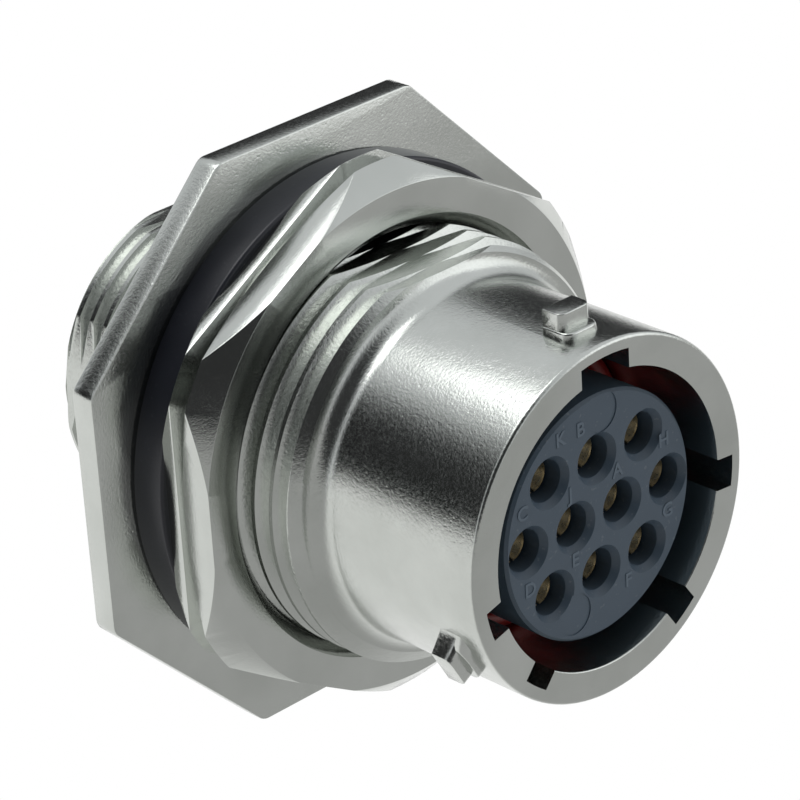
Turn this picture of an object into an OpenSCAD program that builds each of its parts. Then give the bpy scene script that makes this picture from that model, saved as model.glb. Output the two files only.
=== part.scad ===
// Panel-mount circular connector receptacle, shell size 12, with ten socket contacts.
// A die-cast shell goes through the panel from behind and is clamped by a hexagonal jam nut.
// The mating end points along -Y, the wide master keyway is up, and the origin lies on the
// connector's axis in the front face of the flange.

/* [Mating barrel] */
// Outside diameter of the barrel
barrel_d = 19.05; // [18.8:0.05:19.6]
// Length from the flange's front face to the front rim
mating_len = 19.5; // [18.5:0.1:22]
// Thickness of the barrel's wall
barrel_wall = 1.725; // [1.6:0.025:1.9]
// Depth behind the front rim of the bore that takes the plug's nose
cavity_depth = 7.2; // [6:0.1:8]
// Depth of the keyways in that wall
keyway_depth = 1.05; // [0.8:0.05:1.2]
// Width of the master keyway
master_key_w = 3.3; // [2.8:0.1:3.6]
// Width of each of the four minor keyways
minor_key_w = 1.7; // [1.4:0.1:2]
// Bevel round the rim's outer edge
rim_bevel = 0.25; // [0.1:0.05:0.4]

/* [Bayonet lugs] */
// Height of the upper lug above the barrel
lug_rise = 1.3; // [1:0.05:1.5]
// Height of the two lower lugs above the barrel
low_lug_rise = 1; // [0.8:0.05:1.3]
// Width of a lug round the barrel
lug_w = 2.3; // [1.9:0.1:2.6]
// Length of a lug along the barrel
lug_len = 1.8; // [1.6:0.1:2.4]
// Distance from the front rim to a lug's nose
lug_setback = 1.25; // [0.8:0.05:2.4]
// Rounding of a lug's nose
lug_round = 0.8; // [0.4:0.1:0.9]

/* [Panel thread] */
// Major diameter of the thread that takes the jam nut
panel_thread_d = 22.22; // [22:0.02:22.6]
// Length of the thread from the flange's front face
panel_thread_len = 8.8; // [7.6:0.1:9.6]
// Pitch of the panel thread
panel_pitch = 1.27; // [1.2:0.01:1.35]
// Depth of the panel thread's grooves
panel_groove_depth = 0.74; // [0.5:0.02:0.76]
// Chamfer at the thread's front end
thread_chamfer = 0.45; // [0.2:0.05:0.6]
// Height of the locating flat above the axis
panel_flat_h = 10.35; // [10.2:0.05:10.8]

/* [Flange] */
// Reach of the eight-sided flange's flats past the panel seal
flange_lip = 0.875; // [0.6:0.025:1.2]
// Thickness of the flange
flange_t = 1.45; // [1.2:0.05:2.2]
// Reach of the flange's blunted corners past its flats
flange_corner = 1.2; // [0.6:0.05:1.25]

/* [Rear thread] */
// Wall from the insert bore to the crests of the accessory thread
rear_wall = 1.53; // [1.4:0.01:1.7]
// Length of the accessory thread behind the flange
rear_len = 10.5; // [9.8:0.1:12]
// Pitch of the accessory thread
rear_pitch = 1.058; // [1:0.002:1.1]
// Depth of the accessory thread's grooves
rear_groove_depth = 0.55; // [0.4:0.01:0.57]
// Wall from the insert bore to the two cast flats
rear_flat_wall = 0.95; // [0.9:0.05:1.3]

/* [Jam nut] */
// Wall from the nut's thread to its flats
nut_wall = 2.33; // [2.1:0.01:2.7]
// Thickness of the nut
nut_t = 3.15; // [2.8:0.05:3.6]
// Reach of the nut's turned corners past its flats
nut_corner = 1.5; // [1.2:0.05:1.8]
// Reach of the flat ring on the nut's front face past its flats
nut_front_ring = 0.15; // [-0.2:0.05:0.6]
// Reach of the flat ring on the nut's rear face past its flats
nut_rear_ring = 0.6; // [0.2:0.05:1]
// Land left behind the groove that is turned round the nut
groove_land = 0.8; // [0.6:0.05:1]
// Width of that groove in the middle of a flat
groove_w = 0.45; // [0.3:0.05:0.6]
// Depth of that groove in the middle of a flat
groove_depth = 0.4; // [0.2:0.05:0.5]

/* [Seals] */
// Width of the panel seal's ring
panel_seal_w = 3.84; // [3.4:0.02:4.4]
// Thickness of the panel seal
panel_seal_t = 2.25; // [1.8:0.05:2.6]
// Rounding of the panel seal's front edge
panel_seal_round = 0.7; // [0.3:0.05:0.9]
// Thickness of the ring that seals the plug's nose
nose_seal_t = 1.2; // [0.8:0.1:1.6]

/* [Inserts] */
// Width of the gap round the front insert that the plug's nose enters
nose_gap = 1.3; // [1.2:0.05:1.4]
// Depth of the insert's face behind the front rim
insert_recess = 0.8; // [0.4:0.1:1.4]
// Wall between the outermost cavities and the insert's edge
edge_wall = 0.525; // [0.475:0.025:0.6]
// Step from the front insert's edge out to the bore that holds the inserts
insert_step = 0.7; // [0.6:0.05:0.9]
// Distance between the three rows of contacts
row_gap = 3.1; // [3:0.02:3.2]
// Diameter of the contact cavities in the front insert
cavity_d = 2.05; // [1.98:0.01:2.1]
// Diameter of the lead-in at each cavity's mouth
lead_in_d = 2.85; // [2.5:0.05:2.95]
// Depth of the lead-in
lead_in_depth = 0.45; // [0.3:0.05:0.6]
// Thickness of the disc that holds the retention clips
clip_disc_t = 4; // [3.8:0.1:4.4]
// Thickness of the rear insert
rear_insert_t = 6; // [5.6:0.1:6.4]
// Depth of the grommet's face behind the shell's rear end
grommet_recess = 0.8; // [0.5:0.1:1.4]

/* [Contacts] */
// Bore for the mating pin
pin_bore_d = 1.05; // [1:0.01:1.15]
// Outside diameter of the contact's front barrel
socket_barrel_d = 1.85; // [1.75:0.01:1.88]
// Diameter of the shoulder that the clip holds
shoulder_d = 2.2; // [2.12:0.02:2.26]
// Outside diameter of the crimp barrel
crimp_d = 1.75; // [1.65:0.01:1.8]
// Bore for the wire
wire_bore_d = 1.2; // [1:0.05:1.3]
// Depth of the contacts' mouths behind the insert's face
contact_recess = 1.2; // [0.8:0.1:2]

/* [Hidden] */
$fn = 72;

// Gap between two pieces that are assembled by hand
fit_gap = 0.05;
// Radial clearance of the nut on its thread
thread_gap = 0.06;
// Overlap of a cut past the face that it opens
over = 1;

// Contact letters and their places, in half pitches across and half row gaps up
contact_names = ["a", "b", "c", "d", "e", "f", "g", "h", "j", "k"];
contact_steps = [[0, 2], [-2, 2], [-3, 0], [-2, -2], [0, -2],
                 [2, -2], [3, 0], [2, 2], [-1, 0], [1, 0]];

// Keyway directions, counter-clockwise from the master keyway as the plug sees them
minor_key_angles = [105, 140, 215, 265];
rear_flat_angles = [0, 79];

barrel_r = barrel_d / 2;
bore_r = barrel_r - barrel_wall;
keyway_r = bore_r + keyway_depth;
insert_r = bore_r - nose_gap;
thread_r = panel_thread_d / 2;
lug_slope = 0.4;
lug_draft = 0.2;
low_lug_flare = 0.9;
thread_end = panel_thread_len - thread_chamfer;
neck_r = thread_r - thread_chamfer;
neck_fillet = neck_r - barrel_r;
fillet_steps = 8;

web_t = 1.2;
web_front = mating_len - cavity_depth;
web_rear = web_front - web_t;
keyway_len = cavity_depth - nose_seal_t;
shell_rear = -flange_t - rear_len;
rear_bore_r = insert_r + insert_step;
rear_thread_r = rear_bore_r + rear_wall;
rear_flat_h = rear_bore_r + rear_flat_wall;
rear_chamfer = 0.5;

// Room left without grooves beside the flange
panel_runout = 0.6;
rear_runout = 1.4;
// Land left between the last groove and a thread's end chamfer
end_land = 0.06;

panel_seal_bore_r = thread_r + fit_gap;
panel_seal_r = panel_seal_bore_r + panel_seal_w;
flange_apothem = panel_seal_r + flange_lip;

nut_rear = panel_seal_t;
nut_bore_r = thread_r + thread_gap;
nut_apothem = nut_bore_r + nut_wall;
nut_chamfer = 0.65;
// Lean of the groove's front wall, so that the groove widens towards the corners
groove_lean = 0.5;

insert_face = mating_len - insert_recess;
row_pitch = (insert_r - edge_wall - cavity_d / 2) * 2 / 3;
insert_flange_len = 5.1;
insert_rear = web_rear - insert_flange_len;
clip_disc_rear = insert_rear - clip_disc_t;
rear_insert_rear = clip_disc_rear - rear_insert_t;
ring_t = 0.8;
ring_grip = 0.3;
ring_bore_r = rear_bore_r - 0.7;
grommet_rear = shell_rear + grommet_recess;

clip_r = shoulder_d / 2 + 0.17;
clip_wall = 0.12;
clip_cavity_r = clip_r + 0.02;
clip_len = clip_disc_t - 0.4;
shoulder_t = 0.65;
tine_slot_w = 0.7;
tine_len = 1.7;
clip_split_w = 0.3;
crimp_len = 5.5;
wire_bore_len = 4.5;
pin_bore_len = 6.5;

// Everything is built with the connector's axis upright and its front on top, then laid down.
module lay_down() {
  rotate([90, 0, 0]) children();
}

// A solid of revolution from [radius, height] points
module turned(profile) {
  rotate_extrude() polygon(profile);
}

// Profile points of a thread's grooves, drawn as rings, from the rear one to the front one.
// The front one ends at height to, and as many are made as fit above height from.
function grooves(crest_r, depth, pitch, from, to) =
  let (width = pitch * 7 / 8, flank = depth * tan(30), count = floor((to - from) / pitch))
  [for (i = [count - 1:-1:0]) let (front = to - i * pitch) each [
    [crest_r, front - width], [crest_r - depth, front - width + flank],
    [crest_r - depth, front - flank], [crest_r, front]]];

module tube(outer_r, inner_r, from, to) {
  translate([0, 0, from]) difference() {
    cylinder(r = outer_r, h = to - from);
    translate([0, 0, -over]) cylinder(r = inner_r, h = to - from + 2 * over);
  }
}

// A bar from the axis outwards, used for slots, keyways and windows
module radial_bar(width, reach, from, to) {
  translate([-width / 2, 0, from]) cube([width, reach, to - from]);
}

// Removes what lies farther from the axis than height, on one side
module flat_cut(height, from, to) {
  translate([-panel_thread_d, height, from]) cube([2 * panel_thread_d, panel_thread_d, to - from]);
}

function contact_x(i) = contact_steps[i][0] * row_pitch / 2;
function contact_y(i) = contact_steps[i][1] * row_gap / 2;

module at_each_contact() {
  for (i = [0:len(contact_steps) - 1]) translate([contact_x(i), contact_y(i), 0]) children();
}

// Barrel, concave neck and panel thread, turned as one profile
module shell_front() {
  neck = [for (i = [0:fillet_steps]) let (t = 90 * i / fillet_steps)
    [neck_r - neck_fillet * sin(t), panel_thread_len + neck_fillet * (1 - cos(t))]];
  difference() {
    turned(concat(
      [[0, -flange_t], [thread_r, -flange_t]],
      grooves(thread_r, panel_groove_depth, panel_pitch, panel_runout, thread_end - end_land),
      [[thread_r, thread_end]],
      neck,
      [[barrel_r, mating_len - rim_bevel], [barrel_r - rim_bevel, mating_len], [0, mating_len]]));
    flat_cut(panel_flat_h, 0, panel_thread_len + neck_fillet);
  }
}

module flange() {
  translate([0, 0, -flange_t]) intersection() {
    rotate(180 / 8) cylinder(r = flange_apothem / cos(180 / 8), h = flange_t, $fn = 8);
    cylinder(r = flange_apothem + flange_corner, h = flange_t);
  }
}

module rear_barrel() {
  difference() {
    turned(concat(
      [[0, shell_rear], [rear_thread_r - rear_chamfer, shell_rear],
       [rear_thread_r, shell_rear + rear_chamfer]],
      grooves(rear_thread_r, rear_groove_depth, rear_pitch, shell_rear + rear_chamfer + end_land,
              -flange_t - rear_runout),
      [[rear_thread_r, -flange_t / 2], [0, -flange_t / 2]]));
    for (a = rear_flat_angles) rotate(a) flat_cut(rear_flat_h, shell_rear - over, -flange_t);
  }
}

// Outline of a lug seen from outside the barrel: flat back and a nose with rounded corners
module lug_outline(left, right) {
  translate([-left, -lug_len]) square([left + right, lug_len - lug_round]);
  translate([-left + lug_round, -lug_len]) square([left + right - 2 * lug_round, lug_len]);
  translate([-left + lug_round, -lug_round]) circle(r = lug_round);
  translate([right - lug_round, -lug_round]) circle(r = lug_round);
}

// A lug on top of the barrel. Its right flank leans out by flare, so that a lug below the
// casting's parting line still leaves the die.
module lug(rise, flare) {
  root = barrel_r - 0.6;
  tip_r = barrel_r + rise;
  w = lug_w / 2;
  lean = (flare + lug_draft) / rise;
  reach = w + flare + 0.6 * lean;
  intersection() {
    translate([0, 0, mating_len - lug_setback - lug_len]) linear_extrude(lug_len + over)
      polygon([[-w - 0.6 * lug_draft / rise, root], [reach, root],
               [w - lug_draft - lean * over, tip_r + over],
               [-w + lug_draft * (1 + over / rise), tip_r + over]]);
    translate([0, 0, mating_len - lug_setback]) rotate([90, 0, 0]) mirror([0, 0, 1])
      linear_extrude(tip_r + over) lug_outline(w + lug_draft, reach);
    turned([[0, 0], [tip_r, 0], [tip_r, mating_len - lug_setback - lug_slope],
            [barrel_r, mating_len - lug_setback], [0, mating_len - lug_setback]]);
  }
}

module lugs() {
  lug(lug_rise, 0);
  rotate(120) lug(low_lug_rise, low_lug_flare);
  mirror([1, 0, 0]) rotate(120) lug(low_lug_rise, low_lug_flare);
}

module keyways() {
  intersection() {
    translate([0, 0, mating_len - keyway_len]) cylinder(r = keyway_r, h = keyway_len + over);
    union() {
      radial_bar(master_key_w, barrel_d, 0, mating_len + over);
      for (a = minor_key_angles) rotate(a) radial_bar(minor_key_w, barrel_d, 0, mating_len + over);
    }
  }
}

module shell() {
  color([0.73, 0.75, 0.72]) lay_down() difference() {
    union() {
      shell_front();
      flange();
      rear_barrel();
      lugs();
    }
    translate([0, 0, web_front]) cylinder(r = bore_r, h = cavity_depth + over);
    keyways();
    cylinder(r = insert_r + fit_gap, h = mating_len);
    translate([0, 0, shell_rear - over])
      cylinder(r = rear_bore_r, h = web_rear - shell_rear + over);
    translate([0, 0, rear_insert_rear - ring_t - 2 * fit_gap])
      cylinder(r = rear_bore_r + ring_grip + fit_gap, h = ring_t + 2 * fit_gap);
  }
}

module jam_nut() {
  blank_r = nut_apothem + nut_corner;
  front_r = nut_apothem + nut_front_ring;
  rear_r = nut_apothem + nut_rear_ring;
  root_r = nut_apothem - groove_depth;
  color([0.75, 0.77, 0.74]) lay_down() translate([0, 0, nut_rear]) difference() {
    intersection() {
      rotate(30) cylinder(r = nut_apothem / cos(30), h = nut_t, $fn = 6);
      turned([[0, 0], [rear_r, 0], [blank_r, blank_r - rear_r],
              [blank_r, nut_t - blank_r + front_r], [front_r, nut_t], [0, nut_t]]);
    }
    translate([0, 0, -over]) cylinder(r = nut_bore_r, h = nut_t + 2 * over);
    cylinder(r1 = nut_bore_r + nut_chamfer, r2 = nut_bore_r, h = nut_chamfer);
    translate([0, 0, nut_t - nut_chamfer])
      cylinder(r1 = nut_bore_r, r2 = nut_bore_r + nut_chamfer, h = nut_chamfer);
    turned([[root_r, groove_land], [blank_r + over, groove_land],
            [blank_r + over, groove_land + groove_w + groove_lean * (blank_r + over - nut_apothem)],
            [root_r, groove_land + groove_w - groove_lean * groove_depth]]);
  }
}

module panel_seal() {
  steps = 6;
  edge = [for (i = [0:steps]) let (t = 90 * i / steps)
    [panel_seal_r - panel_seal_round * (1 - cos(t)),
     panel_seal_t - panel_seal_round * (1 - sin(t))]];
  color([0.16, 0.18, 0.23]) lay_down()
    turned(concat([[panel_seal_bore_r, 0], [panel_seal_r, 0]], edge,
                  [[panel_seal_bore_r, panel_seal_t]]));
}

// Red ring at the bottom of the bore, with a rounded lip for the plug's nose
module nose_seal() {
  inner_r = insert_r + fit_gap;
  outer_r = bore_r - fit_gap;
  lip_r = (outer_r - inner_r) / 2;
  steps = 8;
  lip = [for (i = [0:steps]) let (t = 180 * i / steps)
    [inner_r + lip_r + lip_r * cos(t), web_front + nose_seal_t - lip_r * (1 - sin(t))]];
  color([0.62, 0.09, 0.08]) lay_down()
    turned(concat([[inner_r, web_front], [outer_r, web_front]], lip));
}

module front_insert() {
  cavity_r = cavity_d / 2;
  color([0.33, 0.39, 0.46]) lay_down() difference() {
    turned([[0, insert_rear], [rear_bore_r - fit_gap, insert_rear],
            [rear_bore_r - fit_gap, web_rear], [insert_r, web_rear], [insert_r, insert_face],
            [0, insert_face]]);
    at_each_contact() {
      translate([0, 0, insert_rear - over])
        cylinder(r = cavity_r, h = insert_face - insert_rear + 2 * over, $fn = 32);
      translate([0, 0, insert_face - lead_in_depth])
        cylinder(r1 = cavity_r, r2 = lead_in_d / 2, h = lead_in_depth, $fn = 32);
    }
  }
}

module clip_disc() {
  color([0.82, 0.78, 0.66]) lay_down() difference() {
    translate([0, 0, clip_disc_rear]) cylinder(r = rear_bore_r - fit_gap, h = clip_disc_t);
    at_each_contact() translate([0, 0, clip_disc_rear - over])
      cylinder(r = clip_cavity_r, h = clip_disc_t + 2 * over, $fn = 32);
  }
}

module rear_insert() {
  color([0.82, 0.78, 0.66]) lay_down() difference() {
    translate([0, 0, rear_insert_rear]) cylinder(r = rear_bore_r - fit_gap, h = rear_insert_t);
    at_each_contact() translate([0, 0, rear_insert_rear - over])
      cylinder(r = crimp_d / 2 + 2 * fit_gap, h = rear_insert_t + 2 * over, $fn = 32);
  }
}

// Split ring that snaps into the shell's groove behind the rear insert
module retaining_ring() {
  gap = 2.4;
  rear = rear_insert_rear - ring_t - fit_gap;
  color([0.62, 0.63, 0.65]) lay_down() difference() {
    tube(rear_bore_r + ring_grip, ring_bore_r, rear, rear + ring_t);
    mirror([0, 1, 0]) radial_bar(gap, 2 * rear_bore_r, rear - over, rear + ring_t + over);
  }
}

// Rubber grommet, with two sealing webs round each wire hole
module wire_grommet() {
  hole_r = wire_bore_d / 2 + 0.3;
  web_r = 0.5;
  front = rear_insert_rear;
  waist = front - ring_t - 2 * fit_gap;
  step = (front - grommet_rear) / 5;
  color([0.30, 0.31, 0.33]) lay_down() difference() {
    turned([[0, grommet_rear], [rear_bore_r - 2 * fit_gap, grommet_rear],
            [rear_bore_r - 2 * fit_gap, waist], [ring_bore_r - fit_gap, waist],
            [ring_bore_r - fit_gap, front], [0, front]]);
    at_each_contact() turned([
      [0, grommet_rear - over], [hole_r, grommet_rear - over], [hole_r, grommet_rear + step],
      [web_r, grommet_rear + 1.5 * step], [hole_r, grommet_rear + 2 * step],
      [hole_r, grommet_rear + 3 * step], [web_r, grommet_rear + 3.5 * step],
      [hole_r, grommet_rear + 4 * step], [hole_r, front + over], [0, front + over]]);
  }
}

// Gold-plated socket: slotted front barrel, shoulder and crimp barrel with an inspection hole
module socket_contact() {
  mouth = insert_face - contact_recess;
  shoulder = insert_rear - fit_gap;
  crimp_r = crimp_d / 2;
  rear = clip_disc_rear - crimp_len;
  slot_w = 0.2;
  lead = 0.15;
  color([0.83, 0.68, 0.35]) lay_down() difference() {
    turned([[0, rear], [crimp_r, rear], [crimp_r, shoulder - shoulder_t],
            [shoulder_d / 2, shoulder - shoulder_t], [shoulder_d / 2, shoulder],
            [socket_barrel_d / 2, shoulder], [socket_barrel_d / 2, mouth - lead],
            [socket_barrel_d / 2 - lead, mouth], [0, mouth]], $fn = 32);
    translate([0, 0, mouth - pin_bore_len])
      cylinder(d = pin_bore_d, h = pin_bore_len + over, $fn = 32);
    translate([0, 0, mouth - lead])
      cylinder(d1 = pin_bore_d, d2 = pin_bore_d + 2 * lead, h = lead, $fn = 32);
    translate([-slot_w / 2, -socket_barrel_d, mouth - pin_bore_len + over])
      cube([slot_w, 2 * socket_barrel_d, pin_bore_len]);
    translate([0, 0, rear - over])
      cylinder(d = wire_bore_d, h = wire_bore_len + over, $fn = 32);
    translate([0, 0, rear + wire_bore_len - 0.6]) rotate([90, 0, 0])
      cylinder(d = 0.5, h = crimp_d, $fn = 24);
  }
}

// Spring clip: a split tube with three tines that lean in behind the contact's shoulder
module retention_clip() {
  front = insert_rear - fit_gap;
  rear = front - clip_len;
  tip = front - shoulder_t - 2 * fit_gap;
  tip_r = crimp_d / 2 + fit_gap;
  base = tip - tine_len;
  inner_r = clip_r - clip_wall;
  color([0.70, 0.62, 0.42]) lay_down() difference() {
    turned([[clip_r, rear], [clip_r, front], [inner_r, front], [inner_r, base + 0.3],
            [tip_r + clip_wall, tip], [tip_r, tip], [inner_r, base], [inner_r, rear]], $fn = 32);
    for (a = [0, 120, 240]) rotate(a)
      radial_bar(tine_slot_w, clip_r + over, base - 0.2, tip + 0.3);
    rotate(60) radial_bar(clip_split_w, clip_r + over, rear - over, front + over);
  }
}

// A contact's place in the laid-down connector
module at_place(i) {
  translate([contact_x(i), 0, contact_y(i)]) children();
}

shell();
jam_nut();
panel_seal();
nose_seal();
front_insert();
clip_disc();
rear_insert();
retaining_ring();
wire_grommet();
for (i = [0:9]) {
  at_place(i) socket_contact();
  at_place(i) retention_clip();
}
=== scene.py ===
import math
import bpy
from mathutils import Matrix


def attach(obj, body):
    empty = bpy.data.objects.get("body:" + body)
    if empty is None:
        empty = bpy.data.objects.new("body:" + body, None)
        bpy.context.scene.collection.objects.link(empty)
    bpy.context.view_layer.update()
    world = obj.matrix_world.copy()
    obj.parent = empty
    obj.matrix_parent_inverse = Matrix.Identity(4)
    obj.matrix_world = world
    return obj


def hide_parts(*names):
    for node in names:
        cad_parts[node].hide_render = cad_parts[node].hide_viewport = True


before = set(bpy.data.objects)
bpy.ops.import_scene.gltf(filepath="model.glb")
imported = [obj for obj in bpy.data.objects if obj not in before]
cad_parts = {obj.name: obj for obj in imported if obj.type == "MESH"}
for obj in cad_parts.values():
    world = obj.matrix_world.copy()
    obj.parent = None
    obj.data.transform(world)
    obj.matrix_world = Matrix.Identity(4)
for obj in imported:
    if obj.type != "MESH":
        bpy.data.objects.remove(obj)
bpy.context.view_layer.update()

# ---------------------------------------------------------------------------
# Shell. One die casting, nickel plated: keyed mating barrel, neck, panel thread, eight-sided
# flange and rear accessory barrel. The casting is turned and cut here as the maker would:
# revolved blank, flange sheared, flats and keyways cut, threads run on last.

MM = 0.001


def along(forward):
    """A place on the connector's axis, from the flange's front face towards the mating end."""
    return -forward * MM


def turned_piece(name, outline, steps=192):
    """Draw a closed outline of (radius, forward) points in millimetres and spin it."""
    bpy.ops.object.select_all(action="DESELECT")
    bpy.ops.mesh.primitive_plane_add(size=MM)
    piece = bpy.context.object
    piece.name = piece.data.name = name
    bpy.ops.object.mode_set(mode="EDIT")
    bpy.ops.mesh.select_mode(type="VERT")
    bpy.ops.mesh.merge(type="CENTER")
    radius, forward = outline[0]
    bpy.ops.transform.translate(value=(radius * MM, along(forward), 0))
    closing = [] if outline[0][0] == outline[-1][0] == 0.0 else outline[:1]
    for radius_2, forward_2 in outline[1:] + closing:
        step = ((radius_2 - radius) * MM, along(forward_2 - forward), 0)
        bpy.ops.mesh.extrude_vertices_move(TRANSFORM_OT_translate={"value": step})
        radius, forward = radius_2, forward_2
    bpy.ops.mesh.select_all(action="SELECT")
    bpy.ops.mesh.remove_doubles(threshold=1e-7)
    bpy.ops.mesh.spin(steps=steps, angle=math.tau, center=(0, 0, 0), axis=(0, 1, 0))
    bpy.ops.mesh.select_all(action="SELECT")
    bpy.ops.mesh.remove_doubles(threshold=1e-7)
    bpy.ops.mesh.normals_make_consistent(inside=False)
    bpy.ops.object.mode_set(mode="OBJECT")
    return piece


def arc(radius, forward, size, start, end, steps=6):
    """Outline points round a corner or fillet: its centre, its radius and its two angles."""
    turns = [math.radians(start + (end - start) * i / steps) for i in range(steps + 1)]
    return [(radius + size * math.cos(t), forward + size * math.sin(t)) for t in turns]


def combine(piece, tool, how):
    """Cut, join or intersect a piece with a tool body and throw the tool away."""
    bpy.ops.object.select_all(action="DESELECT")
    bpy.context.view_layer.objects.active = piece
    change = piece.modifiers.new(how, "BOOLEAN")
    change.operation, change.solver, change.object = how, "EXACT", tool
    change.material_mode = "INDEX"
    bpy.ops.object.modifier_apply(modifier=change.name)
    bpy.data.objects.remove(tool)
    return piece


def block(low, high, angle=0.0):
    """A cutter between two corners in (across, forward, up) millimetres, turned about the axis."""
    size = [(b - a) * MM for a, b in zip(low, high)]
    middle = [(a + b) / 2 * MM for a, b in zip(low, high)]
    bpy.ops.object.select_all(action="DESELECT")
    bpy.ops.mesh.primitive_cube_add(size=1, location=(middle[0], -middle[1], middle[2]), scale=size)
    bpy.ops.object.transform_apply(location=True, rotation=True, scale=True)
    cutter = bpy.context.object
    cutter.rotation_euler = (0, -math.radians(angle), 0)
    bpy.ops.object.transform_apply(location=False, rotation=True, scale=False)
    return cutter


def soften(piece, width, segments=2, angle=30, slot=0):
    """Break the sharp edges of a piece."""
    bpy.ops.object.select_all(action="DESELECT")
    bpy.context.view_layer.objects.active = piece
    edge = piece.modifiers.new("edges", "BEVEL")
    edge.width, edge.segments, edge.limit_method = width * MM, segments, "ANGLE"
    edge.angle_limit, edge.material = math.radians(angle), slot
    bpy.ops.object.modifier_apply(modifier=edge.name)


def round_edges(piece, width, segments, wanted):
    """Round those edges of a piece whose two ends, in millimetres, pass the test."""
    bpy.ops.object.select_all(action="DESELECT")
    bpy.context.view_layer.objects.active = piece
    bpy.ops.object.mode_set(mode="EDIT")
    bpy.ops.mesh.select_mode(type="EDGE")
    bpy.ops.mesh.select_all(action="DESELECT")
    bpy.ops.object.mode_set(mode="OBJECT")
    for edge in piece.data.edges:
        edge.select = bool(wanted(*[piece.data.vertices[i].co / MM for i in edge.vertices]))
    bpy.ops.object.mode_set(mode="EDIT")
    bpy.ops.mesh.bevel(offset=width * MM, segments=segments, affect="EDGES")
    bpy.ops.object.mode_set(mode="OBJECT")


def finish_mesh(piece, angle=32):
    """Recalculate the faces' outsides and shade the piece smooth between its real edges."""
    bpy.ops.object.select_all(action="DESELECT")
    piece.select_set(True)
    bpy.context.view_layer.objects.active = piece
    bpy.ops.object.mode_set(mode="EDIT")
    bpy.ops.mesh.select_all(action="SELECT")
    bpy.ops.mesh.remove_doubles(threshold=1e-7)
    bpy.ops.mesh.normals_make_consistent(inside=False)
    bpy.ops.object.mode_set(mode="OBJECT")
    bpy.ops.object.shade_smooth_by_angle(angle=math.radians(angle))


barrel, bore, keyway, insert_seat = 9.525, 7.8, 8.85, 6.55
rim, web_front, web_rear = 19.5, 12.3, 11.1
thread, thread_root, thread_end, neck = 11.11, 10.36, 8.35, 10.66
rear_thread, rear_root, rear_end, rear_bore = 8.73, 8.16, -11.95, 7.2

shell = turned_piece("shell_casting", [
    (rear_thread, -0.7), (thread, -0.7), (thread, thread_end),
    *arc(neck, 9.935, neck - barrel, 270, 180, 8),
    *arc(barrel - 0.22, rim - 0.22, 0.22, 0, 90, 4),
    *arc(bore + 0.08, rim - 0.08, 0.08, 90, 180, 3),
    (bore, web_front), (insert_seat, web_front), (insert_seat, web_rear), (rear_bore, web_rear),
    (rear_bore, -4.0), (7.55, -4.0), (7.55, -4.9), (rear_bore, -4.9),
    (rear_bore, rear_end + 0.2), (rear_bore + 0.2, rear_end),
    (rear_thread - 0.5, rear_end), (rear_thread, rear_end + 0.5)], steps=240)

# The flange: sheared from the casting's edge, so its corners are blunt and its edges rough.
flange_half, flange_thick = 15.875, 1.45
bpy.ops.object.select_all(action="DESELECT")
bpy.ops.mesh.primitive_cylinder_add(vertices=8, radius=flange_half / math.cos(math.pi / 8) * MM,
                                    depth=flange_thick * MM, location=(0, along(-flange_thick / 2), 0),
                                    rotation=(math.pi / 2, 0, 0))
flange = bpy.context.object
bpy.ops.object.transform_apply(location=True, rotation=True, scale=True)
flange.rotation_euler = (0, math.pi / 8, 0)
bpy.ops.object.transform_apply(location=False, rotation=True, scale=False)
round_edges(flange, 0.3, 3, lambda a, b: abs(a.y - b.y) > 0.5)
soften(flange, 0.1, slot=1)
combine(shell, flange, "UNION")


def cast_lug(rise, flare, angle, side=1):
    """Join a bayonet lug to the barrel: a flat-topped block with a lower step in front. The flank on
    the given side leans out by flare at its foot, where the die draws past it."""
    foot, tail = 9.1, rim - 3.05
    for top, nose, half, corner, lean, edges in (
            (barrel + 0.4, rim - 1.3, 1.12, 0.6, flare + 0.2, 0.1),
            (barrel + rise, rim - 1.8, 1.05, 0.45, flare, 0.05)):
        bpy.ops.object.select_all(action="DESELECT")
        bpy.ops.mesh.primitive_cube_add(size=1, location=(0, along((nose + tail) / 2), (foot + top) / 2 * MM),
                                        scale=(2 * half * MM, (nose - tail) * MM, (top - foot) * MM))
        tier = bpy.context.object
        bpy.ops.object.transform_apply(location=True, rotation=True, scale=True)
        for v in tier.data.vertices:
            if v.co.x * side > 0 and v.co.z < barrel * MM:
                v.co.x += side * lean * MM
        middle = along(nose + tail) / 2 / MM
        round_edges(tier, corner, 6, lambda a, b: abs(a.z - b.z) > 0.3 and max(a.y, b.y) < middle)
        soften(tier, edges, segments=3, angle=40, slot=1)
        tier.rotation_euler = (0, -math.radians(angle), 0)
        tier.select_set(True)
        bpy.ops.object.transform_apply(location=False, rotation=True, scale=False)
        combine(shell, tier, "UNION")
        tail -= 0.02


cast_lug(1.3, 0.1, 0)
cast_lug(1.0, 0.7, 120)
cast_lug(1.0, 0.7, -120, side=-1)

# Keyways in the barrel's wall, the wide master key on top, and the flats beside the threads.
for angle, width in ((0, 3.3), (105, 1.7), (140, 1.7), (215, 1.7), (265, 1.7)):
    slot = block((-width / 2, 13.5, 6.0), (width / 2, rim + 1, 12.0), angle)
    round_floor = turned_piece("floor", [(0.0, 13.5), (keyway, 13.5), (keyway, rim + 1), (0.0, rim + 1)], 96)
    combine(shell, combine(slot, round_floor, "INTERSECT"), "DIFFERENCE")
combine(shell, block((-12, 0.0, 10.35), (12, 9.9, 14)), "DIFFERENCE")
for angle in (0, 79):
    combine(shell, block((-12, rear_end - 1, 8.15), (12, -flange_thick, 12), angle), "DIFFERENCE")


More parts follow.
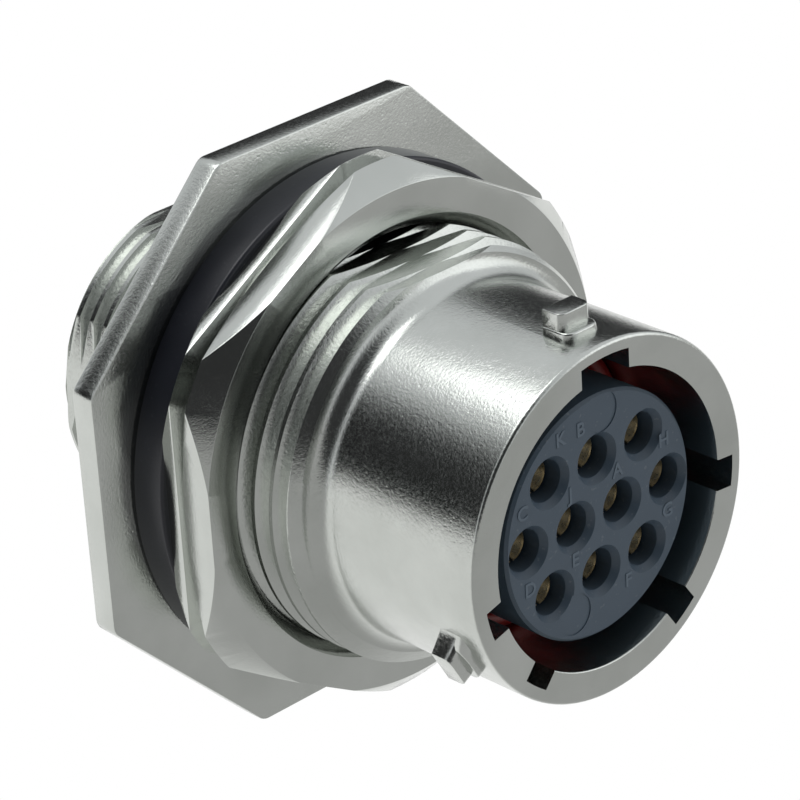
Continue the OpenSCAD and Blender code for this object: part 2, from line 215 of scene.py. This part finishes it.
def thread_cutter(major, root, pitch, start, end, phase):
    """The path of a threading tool: a vee with a narrow flat tip, run along a helix."""
    flare, tip, reach = math.tan(math.radians(30)), pitch / 8, 0.1
    half = tip / 2 + (major + reach - root) * flare
    turns = math.ceil((end - start) / pitch) + 1
    bpy.ops.object.select_all(action="DESELECT")
    bpy.ops.mesh.primitive_plane_add(size=MM)
    tool = bpy.context.object
    corners = [(root, -tip / 2), (major + reach, -half), (major + reach, half), (root, tip / 2)]
    for v, (radius, forward) in zip([tool.data.vertices[i] for i in tool.data.polygons[0].vertices], corners):
        v.co = (radius * MM, along(start + forward), 0)
    bpy.ops.object.mode_set(mode="EDIT")
    bpy.ops.mesh.select_all(action="SELECT")
    bpy.ops.mesh.delete(type="ONLY_FACE")
    bpy.ops.object.mode_set(mode="OBJECT")
    sweep = tool.modifiers.new("run", "SCREW")
    sweep.axis, sweep.angle, sweep.steps, sweep.render_steps = "Y", math.tau, 120, 120
    sweep.screw_offset, sweep.iterations = along(pitch), turns
    sweep.use_smooth_shade = False
    bpy.ops.object.modifier_apply(modifier=sweep.name)
    bpy.ops.object.mode_set(mode="EDIT")
    bpy.ops.mesh.select_all(action="SELECT")
    bpy.ops.mesh.remove_doubles(threshold=1e-7)
    bpy.ops.mesh.select_all(action="SELECT")
    bpy.ops.mesh.fill_holes(sides=8)
    bpy.ops.mesh.normals_make_consistent(inside=False)
    bpy.ops.object.mode_set(mode="OBJECT")
    tool.rotation_euler = (0, -math.radians(phase), 0)
    bpy.ops.object.transform_apply(location=False, rotation=True, scale=False)
    return tool


combine(shell, thread_cutter(thread, thread_root, 1.27, 0.75, 8.0, 0), "DIFFERENCE")
combine(shell, thread_cutter(rear_thread, rear_root, 1.058, -12.4, -3.0, 0), "DIFFERENCE")
finish_mesh(shell)


def inputs_of(shader, **values):
    """Set a shader's plain sockets."""
    for name, value in values.items():
        shader.inputs[name.replace("_", " ").title().replace("Ior", "IOR")].default_value = value


def plating_grain():
    """Fine grain, orange peel and pits of plated metal: a height, a mask and a tone."""
    group = bpy.data.node_groups.new("plating_grain", "ShaderNodeTree")
    for name, value in (("Grain Size", 0.2), ("Peel", 0.4), ("Pits", 0.3)):
        socket = group.interface.new_socket(name=name, in_out="INPUT", socket_type="NodeSocketFloat")
        socket.default_value = value
    for name in ("Height", "Mask", "Tone"):
        group.interface.new_socket(name=name, in_out="OUTPUT", socket_type="NodeSocketFloat")
    nodes, links = group.nodes, group.links
    given, out = nodes.new("NodeGroupInput"), nodes.new("NodeGroupOutput")
    place = nodes.new("ShaderNodeTexCoord")
    scale = nodes.new("ShaderNodeMath")
    scale.operation = "DIVIDE"
    scale.inputs[0].default_value = 1000.0
    links.new(given.outputs["Grain Size"], scale.inputs[1])
    grain = nodes.new("ShaderNodeTexNoise")
    grain.inputs["Detail"].default_value = 3.0
    grain.inputs["Roughness"].default_value = 0.65
    links.new(place.outputs["Object"], grain.inputs["Vector"])
    links.new(scale.outputs[0], grain.inputs["Scale"])
    peel = nodes.new("ShaderNodeTexNoise")
    peel.inputs["Scale"].default_value = 900.0
    peel.inputs["Detail"].default_value = 2.0
    links.new(place.outputs["Object"], peel.inputs["Vector"])
    cells = nodes.new("ShaderNodeTexVoronoi")
    cells.inputs["Scale"].default_value = 2600.0
    links.new(place.outputs["Object"], cells.inputs["Vector"])
    pits = nodes.new("ShaderNodeMapRange")
    pits.inputs["From Min"].default_value, pits.inputs["From Max"].default_value = 0.05, 0.22
    links.new(cells.outputs["Distance"], pits.inputs["Value"])
    wide = nodes.new("ShaderNodeTexNoise")
    wide.inputs["Scale"].default_value = 180.0
    wide.inputs["Detail"].default_value = 5.0
    links.new(place.outputs["Object"], wide.inputs["Vector"])
    peel_part = nodes.new("ShaderNodeMath")
    peel_part.operation = "MULTIPLY"
    links.new(peel.outputs["Fac"], peel_part.inputs[0])
    links.new(given.outputs["Peel"], peel_part.inputs[1])
    pit_part = nodes.new("ShaderNodeMath")
    pit_part.operation = "MULTIPLY"
    links.new(pits.outputs["Result"], pit_part.inputs[0])
    links.new(given.outputs["Pits"], pit_part.inputs[1])
    first = nodes.new("ShaderNodeMath")
    links.new(grain.outputs["Fac"], first.inputs[0])
    links.new(peel_part.outputs[0], first.inputs[1])
    total = nodes.new("ShaderNodeMath")
    links.new(first.outputs[0], total.inputs[0])
    links.new(pit_part.outputs[0], total.inputs[1])
    links.new(total.outputs[0], out.inputs["Height"])
    mask = nodes.new("ShaderNodeMapRange")
    mask.inputs["From Min"].default_value, mask.inputs["From Max"].default_value = 0.35, 0.65
    links.new(grain.outputs["Fac"], mask.inputs["Value"])
    links.new(mask.outputs["Result"], out.inputs["Mask"])
    tone = nodes.new("ShaderNodeMapRange")
    tone.inputs["From Min"].default_value, tone.inputs["From Max"].default_value = 0.3, 0.7
    links.new(wide.outputs["Fac"], tone.inputs["Value"])
    links.new(tone.outputs["Result"], out.inputs["Tone"])
    return group


GRAIN = plating_grain()


def plated_metal(name, light, dark, rough, spread, grain_size, peel, pits, bump, depth=0.02):
    """Plated metal: satin, a little uneven in tone, with grain in its gloss."""
    material = bpy.data.materials.new(name)
    material.use_nodes = True
    nodes, links = material.node_tree.nodes, material.node_tree.links
    shader = nodes["Principled BSDF"]
    inputs_of(shader, metallic=1.0)
    grain = nodes.new("ShaderNodeGroup")
    grain.node_tree = GRAIN
    inputs_of(grain, grain_size=grain_size, peel=peel, pits=pits)
    tint = nodes.new("ShaderNodeMix")
    tint.data_type = "RGBA"
    tint.inputs["A"].default_value, tint.inputs["B"].default_value = (*dark, 1), (*light, 1)
    links.new(grain.outputs["Tone"], tint.inputs["Factor"])
    links.new(tint.outputs["Result"], shader.inputs["Base Color"])
    gloss = nodes.new("ShaderNodeMapRange")
    gloss.inputs["To Min"].default_value, gloss.inputs["To Max"].default_value = rough - spread, rough + spread
    links.new(grain.outputs["Mask"], gloss.inputs["Value"])
    links.new(gloss.outputs["Result"], shader.inputs["Roughness"])
    relief = nodes.new("ShaderNodeBump")
    relief.inputs["Strength"].default_value = bump
    relief.inputs["Distance"].default_value = depth * MM
    links.new(grain.outputs["Height"], relief.inputs["Height"])
    links.new(relief.outputs["Normal"], shader.inputs["Normal"])
    return material


nickel_cast = plated_metal("nickel_on_casting", (0.60, 0.62, 0.59), (0.50, 0.52, 0.49),
                           0.20, 0.06, 0.16, 0.6, 0.35, 0.6)
nickel_edge = plated_metal("nickel_sheared_edge", (0.75, 0.77, 0.74), (0.30, 0.31, 0.29),
                           0.24, 0.12, 0.13, 1.2, 0.8, 1.0, 0.06)
for material in (nickel_cast, nickel_edge):
    shell.data.materials.append(material)
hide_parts("shell")
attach(shell, "receptacle")

# ---------------------------------------------------------------------------
# Jam nut. Machined hexagon with turned corners and a groove turned round it, which cuts deeper
# towards the corners. Nickel plated. It screws along the panel thread and clamps the panel.

nut_half, nut_thick, nut_rear, nut_bore = 13.5, 3.15, 2.25, 11.17
nut_front = nut_rear + nut_thick
nut = turned_piece("jam_nut_hexagon", [
    (nut_bore + 0.65, nut_rear), (14.1, nut_rear), (15.0, nut_rear + 0.9),
    (15.0, nut_front - 1.35), (13.65, nut_front), (nut_bore + 0.65, nut_front),
    (nut_bore, nut_front - 0.65), (nut_bore, nut_rear + 0.65)], steps=240)
bpy.ops.object.select_all(action="DESELECT")
bpy.ops.mesh.primitive_cylinder_add(vertices=6, radius=nut_half / math.cos(math.pi / 6) * MM,
                                    depth=2 * nut_thick * MM, location=(0, along(nut_rear + nut_thick / 2), 0),
                                    rotation=(math.pi / 2, 0, 0))
hexagon = bpy.context.object
bpy.ops.object.transform_apply(location=True, rotation=True, scale=True)
combine(nut, hexagon, "INTERSECT")
combine(nut, turned_piece("turned_groove", [
    (nut_half - 0.4, 3.05), (16.0, 3.05), (16.0, 3.05 + 0.45 + 1.25), (nut_half - 0.4, 3.05 + 0.25)],
    steps=240), "DIFFERENCE")
soften(nut, 0.07, segments=2, angle=28, slot=1)
finish_mesh(nut)
nickel_nut = plated_metal("nickel_on_nut", (0.60, 0.62, 0.59), (0.52, 0.54, 0.51),
                          0.16, 0.05, 0.11, 0.7, 0.15, 0.4)
nickel_nut_edge = plated_metal("nickel_nut_edge", (0.80, 0.82, 0.79), (0.50, 0.52, 0.49),
                               0.18, 0.08, 0.12, 0.6, 0.3, 0.5)
for material in (nickel_nut, nickel_nut_edge):
    nut.data.materials.append(material)
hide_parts("jam_nut")
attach(nut, "nut")

# ---------------------------------------------------------------------------
# Rubber seals. A dark moulded ring that seals the panel hole, between flange and nut, its colour
# darkened further as painted shade in that gap, and the thin red ring that the plug's nose presses on
# at the bottom of the gap round the insert.

panel_seal = turned_piece("panel_seal_ring", [
    (11.16, 0.0), (13.7, 0.0), (13.9, 0.2), *arc(13.7, 2.05, 0.2, 0, 90, 5), (11.16, 2.25)], steps=240)
finish_mesh(panel_seal)
nose_seal = turned_piece("nose_seal_ring", [
    (6.55, web_front), (7.75, web_front), *arc(7.15, 12.9, 0.6, 0, 180, 16)], steps=192)
finish_mesh(nose_seal, 40)


def soft_skin():
    """The surface of moulded rubber and plastic: faint mottling, fine texture and dust."""
    group = bpy.data.node_groups.new("moulded_skin", "ShaderNodeTree")
    for name, value in (("Texture Size", 0.1), ("Dust", 0.1)):
        socket = group.interface.new_socket(name=name, in_out="INPUT", socket_type="NodeSocketFloat")
        socket.default_value = value
    for name in ("Height", "Mottle", "Dust"):
        group.interface.new_socket(name=name, in_out="OUTPUT", socket_type="NodeSocketFloat")
    nodes, links = group.nodes, group.links
    given, out = nodes.new("NodeGroupInput"), nodes.new("NodeGroupOutput")
    place = nodes.new("ShaderNodeTexCoord")
    scale = nodes.new("ShaderNodeMath")
    scale.operation = "DIVIDE"
    scale.inputs[0].default_value = 1000.0
    links.new(given.outputs["Texture Size"], scale.inputs[1])
    fine = nodes.new("ShaderNodeTexNoise")
    fine.inputs["Detail"].default_value = 4.0
    links.new(place.outputs["Object"], fine.inputs["Vector"])
    links.new(scale.outputs[0], fine.inputs["Scale"])
    links.new(fine.outputs["Fac"], out.inputs["Height"])
    mottle = nodes.new("ShaderNodeTexNoise")
    mottle.inputs["Scale"].default_value = 400.0
    mottle.inputs["Detail"].default_value = 3.0
    links.new(place.outputs["Object"], mottle.inputs["Vector"])
    links.new(mottle.outputs["Fac"], out.inputs["Mottle"])
    specks = nodes.new("ShaderNodeTexNoise")
    specks.inputs["Scale"].default_value = 3600.0
    links.new(place.outputs["Object"], specks.inputs["Vector"])
    few = nodes.new("ShaderNodeMapRange")
    few.inputs["From Min"].default_value, few.inputs["From Max"].default_value = 0.66, 0.74
    links.new(specks.outputs["Fac"], few.inputs["Value"])
    amount = nodes.new("ShaderNodeMath")
    amount.operation = "MULTIPLY"
    links.new(few.outputs["Result"], amount.inputs[0])
    links.new(given.outputs["Dust"], amount.inputs[1])
    links.new(amount.outputs[0], out.inputs["Dust"])
    return group


SKIN = soft_skin()


def moulded(name, light, dark, rough, texture_size, dust, bump, coat=0.0):
    """Moulded rubber or plastic."""
    material = bpy.data.materials.new(name)
    material.use_nodes = True
    nodes, links = material.node_tree.nodes, material.node_tree.links
    shader = nodes["Principled BSDF"]
    inputs_of(shader, metallic=0.0, coat_weight=coat, coat_roughness=0.25)
    skin = nodes.new("ShaderNodeGroup")
    skin.node_tree = SKIN
    inputs_of(skin, texture_size=texture_size, dust=dust)
    tint = nodes.new("ShaderNodeMix")
    tint.data_type = "RGBA"
    tint.inputs["A"].default_value, tint.inputs["B"].default_value = (*dark, 1), (*light, 1)
    links.new(skin.outputs["Mottle"], tint.inputs["Factor"])
    dusty = nodes.new("ShaderNodeMix")
    dusty.data_type = "RGBA"
    dusty.inputs["B"].default_value = (0.45, 0.46, 0.46, 1)
    links.new(skin.outputs["Dust"], dusty.inputs["Factor"])
    links.new(tint.outputs["Result"], dusty.inputs["A"])
    links.new(dusty.outputs["Result"], shader.inputs["Base Color"])
    gloss = nodes.new("ShaderNodeMapRange")
    gloss.inputs["To Min"].default_value, gloss.inputs["To Max"].default_value = rough - 0.06, rough + 0.08
    links.new(skin.outputs["Mottle"], gloss.inputs["Value"])
    links.new(gloss.outputs["Result"], shader.inputs["Roughness"])
    relief = nodes.new("ShaderNodeBump")
    relief.inputs["Strength"].default_value = bump
    relief.inputs["Distance"].default_value = 0.01 * MM
    links.new(skin.outputs["Height"], relief.inputs["Height"])
    links.new(relief.outputs["Normal"], shader.inputs["Normal"])
    return material


# The panel seal's near-black, faintly navy colour is partly the rubber's own and partly painted shade between
# flange and nut.
panel_seal.data.materials.append(moulded("panel_rubber_with_painted_shade", (0.014, 0.016, 0.024), (0.008, 0.009, 0.014),
                                         0.32, 0.12, 0.03, 0.5))
nose_seal.data.materials.append(moulded("red_seal_rubber", (0.50, 0.03, 0.025), (0.38, 0.02, 0.02),
                                        0.32, 0.12, 0.0, 0.4))
for piece, node in ((panel_seal, "panel_seal"), (nose_seal, "nose_seal")):
    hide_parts(node)
    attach(piece, "receptacle")

# ---------------------------------------------------------------------------
# Front insert. Blue-grey moulded disc with ten countersunk cavities, contact letters raised on
# its face, and two shallow round marks left by the mould's ejector pins.

insert, insert_face, insert_rear = 6.5, 18.7, 6.0
pitch, row = 3.3, 3.1
places = {"a": (0, 1), "b": (-1, 1), "c": (-1.5, 0), "d": (-1, -1), "e": (0, -1),
          "f": (1, -1), "g": (1.5, 0), "h": (1, 1), "j": (-0.5, 0), "k": (0.5, 0)}
disc = turned_piece("front_insert_disc", [
    (0.0, insert_face), (insert - 0.15, insert_face), (insert, insert_face - 0.15), (insert, web_rear),
    (7.15, web_rear), (7.15, insert_rear), (0.0, insert_rear)], steps=192)
for across, up in places.values():
    cavity = turned_piece("cavity", [
        (0.0, insert_rear - 1), (1.025, insert_rear - 1), (1.025, insert_face - 3.5), (1.1, insert_face - 3.4),
        (1.1, insert_face - 0.36), (1.34, insert_face - 0.04), (1.38, insert_face + 0.01), (1.38, insert_face + 1),
        (0.0, insert_face + 1)], 64)
    cavity.location = (across * pitch * MM, 0, up * row * MM)
    bpy.ops.object.transform_apply(location=True, rotation=False, scale=False)
    combine(disc, cavity, "DIFFERENCE")
for across, up in ((0.4, 5.5), (-1.96, -4.7)):
    pin_mark = turned_piece("pin_mark", [(0.0, insert_face - 0.05), (1.1, insert_face - 0.05),
                                         (1.1, insert_face + 1), (0.0, insert_face + 1)], 48)
    pin_mark.location = (across * MM, 0, up * MM)
    bpy.ops.object.transform_apply(location=True, rotation=False, scale=False)
    combine(disc, pin_mark, "DIFFERENCE")
finish_mesh(disc)
blue_grey = moulded("blue_grey_insert", (0.075, 0.107, 0.142), (0.058, 0.086, 0.115), 0.42, 0.08, 0.12, 0.45)
disc.data.materials.append(blue_grey)
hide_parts("front_insert")
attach(disc, "receptacle")

letter_places = {"A": (1.38, 1.93), "B": (-1.07, 5.08), "C": (-5.25, 2.18), "D": (-4.97, -2.04),
                 "E": (-1.8, -1.73), "F": (1.87, -4.4), "G": (4.84, -1.7), "H": (4.72, 2.25),
                 "J": (-1.95, 1.91), "K": (-2.46, 5.09)}
raised = moulded("raised_letter", (0.12, 0.16, 0.20), (0.095, 0.13, 0.165), 0.45, 0.08, 0.0, 0.3)
for letter, (across, up) in letter_places.items():
    bpy.ops.object.select_all(action="DESELECT")
    bpy.ops.object.text_add(rotation=(math.pi / 2, 0, 0))
    mark = bpy.context.object
    mark.name = "letter_" + letter.lower()
    mark.data.body, mark.data.size, mark.data.extrude = letter, 1.05 * MM, 0.02 * MM
    mark.data.offset = 0.02 * MM
    mark.data.align_x, mark.data.align_y = "CENTER", "CENTER"
    mark.data.resolution_u = 3
    bpy.ops.object.convert(target="MESH")
    mark.location = (across * MM, along(insert_face + 0.015), up * MM)
    bpy.ops.object.transform_apply(location=True, rotation=True, scale=True)
    mark.data.materials.append(raised)
    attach(mark, "receptacle")

# ---------------------------------------------------------------------------
# Wire grommet and the parts behind the front insert. The grommet is soft rubber with a sealing
# lip in each wire hole. The contacts are turned and gold plated, with a funnel mouth, a slot and
# a wire hole, their gold darkened and paled as painted shade inside the cavities; the discs, the split
# ring and the clips keep the frame's own shapes.

grommet = turned_piece("wire_grommet_disc", [
    (0.0, -11.15), (6.95, -11.15), *arc(6.95, -11.0, 0.15, 270, 360, 4), (7.1, -4.9),
    (6.45, -4.9), (6.45, -4.0), (0.0, -4.0)], steps=160)
for across, up in places.values():
    hole = turned_piece("hole", [
        (0.0, -12.15), (1.05, -12.15), (1.05, -11.2), (0.9, -11.0), (0.9, -9.7), (0.5, -9.0), (0.9, -8.3),
        (0.9, -6.9), (0.5, -6.2), (0.9, -5.4), (0.9, -3.0), (0.0, -3.0)], 48)
    hole.location = (across * pitch * MM, 0, up * row * MM)
    bpy.ops.object.transform_apply(location=True, rotation=False, scale=False)
    combine(grommet, hole, "DIFFERENCE")
finish_mesh(grommet)
grommet.data.materials.append(moulded("grommet_rubber", (0.07, 0.075, 0.085), (0.045, 0.05, 0.055),
                                      0.6, 0.1, 0.15, 0.6))
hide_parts("wire_grommet")
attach(grommet, "receptacle")

# Gold plate whose colour is darkened and paled as painted shade for the dark cavities the contacts sit in.
gold_with_painted_shade = plated_metal("gold_plate_with_painted_shade", (0.62, 0.54, 0.38), (0.50, 0.43, 0.30), 0.3, 0.05, 0.1, 0.3, 0.1, 0.2)
copper = plated_metal("spring_copper", (0.80, 0.62, 0.38), (0.68, 0.5, 0.28), 0.28, 0.06, 0.1, 0.3, 0.1, 0.2)
steel = plated_metal("spring_steel", (0.62, 0.63, 0.64), (0.52, 0.53, 0.54), 0.25, 0.06, 0.1, 0.3, 0.1, 0.2)
socket = turned_piece("socket_contact", [
    (0.0, 10.85), (0.525, 11.0), (0.525, 16.95), (0.83, 17.4), (0.86, 17.5), (0.9, 17.5), (0.925, 17.45),
    (0.925, 5.95), (1.07, 5.95), (1.1, 5.9), (1.1, 5.3), (0.875, 5.3), (0.875, -3.4), (0.8, -3.5), (0.65, -3.5),
    (0.6, -3.4), (0.6, 1.0), (0.0, 1.3)], 48)
combine(socket, block((-0.1, 12.0, -2.0), (0.1, 18.0, 2.0)), "DIFFERENCE")
combine(socket, block((-0.25, 0.15, 0.0), (0.25, 0.65, 2.0)), "DIFFERENCE")
finish_mesh(socket)
socket.data.materials.append(gold_with_painted_shade)
for name, (across, up) in places.items():
    contact = socket.copy()
    contact.data = socket.data.copy()
    contact.name = contact.data.name = "socket_contact_" + name
    bpy.context.scene.collection.objects.link(contact)
    bpy.ops.object.select_all(action="DESELECT")
    contact.select_set(True)
    bpy.context.view_layer.objects.active = contact
    contact.location = (across * pitch * MM, 0, up * row * MM)
    bpy.ops.object.transform_apply(location=True, rotation=False, scale=False)
    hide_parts("socket_" + name)
    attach(contact, "receptacle")
bpy.data.objects.remove(socket)

cream = moulded("cream_insert", (0.62, 0.56, 0.42), (0.55, 0.49, 0.36), 0.55, 0.1, 0.05, 0.4)
for name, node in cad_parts.items():
    finish = (copper if name.startswith("clip_") and name != "clip_disc"
              else steel if name == "retaining_ring" else cream if name in ("clip_disc", "rear_insert") else None)
    if finish:
        node.data.materials.clear()
        node.data.materials.append(finish)

# ---------------------------------------------------------------------------
# Studio. A pale sweep well below the held part, soft boxes round it and the camera in front of
# the mating end, above it and to the left.

bpy.ops.object.select_all(action="DESELECT")
bpy.ops.mesh.primitive_plane_add(size=12.0, location=(0, 0, -0.09))
floor = bpy.context.object
floor.name = "floor"
pale = bpy.data.materials.new("pale_floor")
pale.use_nodes = True
nodes, links = pale.node_tree.nodes, pale.node_tree.links
inputs_of(nodes["Principled BSDF"], base_color=(0.86, 0.86, 0.86, 1), roughness=0.7)
white = nodes.new("ShaderNodeEmission")
rays = nodes.new("ShaderNodeLightPath")
mirrored = nodes.new("ShaderNodeMath")
mirrored.operation = "MAXIMUM"
links.new(rays.outputs["Is Camera Ray"], mirrored.inputs[0])
links.new(rays.outputs["Is Glossy Ray"], mirrored.inputs[1])
where = nodes.new("ShaderNodeTexCoord")
sides = nodes.new("ShaderNodeSeparateXYZ")
fade = nodes.new("ShaderNodeMapRange")
fade.inputs["From Min"].default_value, fade.inputs["From Max"].default_value = -0.04, 0.03
fade.inputs["To Min"].default_value, fade.inputs["To Max"].default_value = 0.5, 1.0
links.new(where.outputs["Object"], sides.inputs["Vector"])
links.new(sides.outputs["Y"], fade.inputs["Value"])
bright = nodes.new("ShaderNodeMath")
bright.operation = "MAXIMUM"
links.new(rays.outputs["Is Camera Ray"], bright.inputs[0])
links.new(fade.outputs["Result"], bright.inputs[1])
links.new(bright.outputs[0], white.inputs["Strength"])
seen = nodes.new("ShaderNodeMixShader")
links.new(mirrored.outputs[0], seen.inputs["Fac"])
links.new(nodes["Principled BSDF"].outputs["BSDF"], seen.inputs[1])
links.new(white.outputs["Emission"], seen.inputs[2])
links.new(seen.outputs["Shader"], nodes["Material Output"].inputs["Surface"])
floor.data.materials.append(pale)

world = bpy.data.worlds.new("studio")
bpy.context.scene.world = world
world.use_nodes = True
nodes, links = world.node_tree.nodes, world.node_tree.links
sky = nodes["Background"]
place = nodes.new("ShaderNodeTexCoord")
level = None
for way, rim_of_it, core, light, dark in (((0.75, 0.66, 0.08), 0.74, 0.92, 0.82, 0.04),
                                          ((-0.72, 0.64, 0.27), 0.80, 0.96, 1.0, 0.03),
                                          ((-0.608, -0.66, 0.442), 0.60, 0.88, 1.0, 0.05)):
    towards = nodes.new("ShaderNodeVectorMath")
    towards.operation = "DOT_PRODUCT"
    towards.inputs[1].default_value = [part / math.hypot(*way) for part in way]
    links.new(place.outputs["Generated"], towards.inputs[0])
    shade = nodes.new("ShaderNodeMapRange")
    shade.interpolation_type = "SMOOTHSTEP"
    shade.inputs["From Min"].default_value, shade.inputs["From Max"].default_value = rim_of_it, core
    shade.inputs["To Min"].default_value, shade.inputs["To Max"].default_value = light, dark
    links.new(towards.outputs["Value"], shade.inputs["Value"])
    if level is None:
        level = shade.outputs["Result"]
        continue
    both = nodes.new("ShaderNodeMath")
    both.operation = "MULTIPLY"
    links.new(level, both.inputs[0])
    links.new(shade.outputs["Result"], both.inputs[1])
    level = both.outputs[0]
links.new(level, sky.inputs["Strength"])
backdrop = nodes.new("ShaderNodeBackground")
rays = nodes.new("ShaderNodeLightPath")
seen = nodes.new("ShaderNodeMixShader")
links.new(rays.outputs["Is Camera Ray"], seen.inputs["Fac"])
links.new(sky.outputs["Background"], seen.inputs[1])
links.new(backdrop.outputs["Background"], seen.inputs[2])
links.new(seen.outputs["Shader"], nodes["World Output"].inputs["Surface"])
sky.inputs["Color"].default_value = (0.95, 0.97, 1.0, 1)
backdrop.inputs["Color"].default_value = (1, 1, 1, 1)


def soft_box(name, place, size, power, aim=(0, 0, 0)):
    """A square studio light, aimed at the part."""
    bpy.ops.object.select_all(action="DESELECT")
    bpy.ops.object.light_add(type="AREA", location=place)
    lamp = bpy.context.object
    lamp.name = name
    lamp.data.size, lamp.data.energy = size, power
    way = [a - b for a, b in zip(aim, place)]
    flat = math.hypot(way[0], way[1])
    lamp.rotation_euler = (math.atan2(flat, -way[2]), 0, math.atan2(-way[0], way[1]))
    return lamp


soft_box("key", (-0.10, 0.10, 0.45), 0.25, 0.5)
soft_box("fill", (0.35, -0.30, 0.10), 0.30, 0.2)

azimuth, height, roll = math.radians(-42.673), math.radians(26.227), math.radians(-3.671)
out = (math.sin(azimuth) * math.cos(height), -math.cos(azimuth) * math.cos(height), math.sin(height))
right = (math.cos(azimuth), math.sin(azimuth), 0.0)
upward = (out[1] * right[2] - out[2] * right[1], out[2] * right[0] - out[0] * right[2],
          out[0] * right[1] - out[1] * right[0])
right_2 = [math.cos(roll) * r + math.sin(roll) * u for r, u in zip(right, upward)]
upward_2 = [-math.sin(roll) * r + math.cos(roll) * u for r, u in zip(right, upward)]
from mathutils import Matrix, Vector
spot = (Vector((0, along(rim), 0)) + Vector(out) * 0.194337 - Vector(right_2) * 0.010268
        + Vector(upward_2) * 0.005846)
lens = bpy.data.cameras.new("camera")
lens.lens, lens.sensor_width, lens.clip_start = 180.0, 36.0, 0.01
camera = bpy.data.objects.new("camera", lens)
bpy.context.scene.collection.objects.link(camera)
camera.matrix_world = Matrix.Translation(spot) @ Matrix((right_2, upward_2, out)).transposed().to_4x4()
bpy.context.scene.camera = camera
bpy.context.scene.view_settings.view_transform = "Standard"
